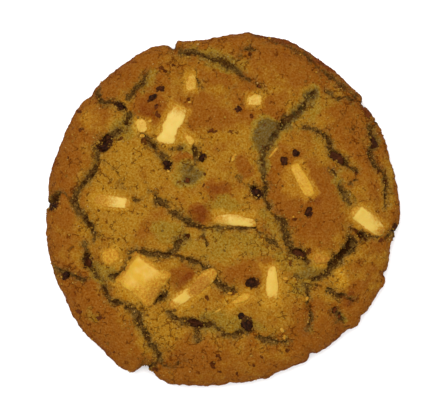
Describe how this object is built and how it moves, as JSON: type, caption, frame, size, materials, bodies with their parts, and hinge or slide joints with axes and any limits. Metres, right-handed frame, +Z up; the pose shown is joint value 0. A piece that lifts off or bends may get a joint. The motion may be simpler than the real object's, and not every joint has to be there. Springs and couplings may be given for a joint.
{
  "type": "cranberry and white chocolate cookie",
  "caption": "Round baked cookie with a cracked, browned top, set with white chocolate pieces and dried cranberries, resting on a flat base.",
  "frame": {"origin": "middle of the cookie's width and depth, on the flat base", "axes": "+Z up out of the cracked top, +Y towards the top of the picture, +X towards its right"},
  "size_m": [0.0886, 0.0884, 0.0152],
  "materials": {
    "dough": "dry baked crumb, golden to orange brown",
    "white_chocolate": "satin, ivory yellow",
    "cranberry": "wrinkled, dark red to black"
  },
  "bodies": {
    "root": {"dough": "dough", "white_chocolate_01": "white_chocolate", "white_chocolate_02": "white_chocolate", "white_chocolate_03": "white_chocolate", "white_chocolate_04": "white_chocolate", "white_chocolate_05": "white_chocolate", "white_chocolate_06": "white_chocolate", "white_chocolate_07": "white_chocolate", "white_chocolate_08": "white_chocolate", "white_chocolate_09": "white_chocolate", "white_chocolate_10": "white_chocolate", "white_chocolate_11": "white_chocolate", "white_chocolate_12": "white_chocolate", "white_chocolate_13": "white_chocolate", "chocolate_flake_01": "white_chocolate", "chocolate_flake_02": "white_chocolate", "cranberry_01": "cranberry", "cranberry_02": "cranberry", "cranberry_03": "cranberry", "cranberry_04": "cranberry", "cranberry_05": "cranberry", "cranberry_06": "cranberry", "cranberry_07": "cranberry", "cranberry_08": "cranberry", "cranberry_09": "cranberry", "cranberry_10": "cranberry", "cranberry_11": "cranberry", "cranberry_12": "cranberry", "cranberry_13": "cranberry", "cranberry_14": "cranberry"}
  },
  "joints": []
}
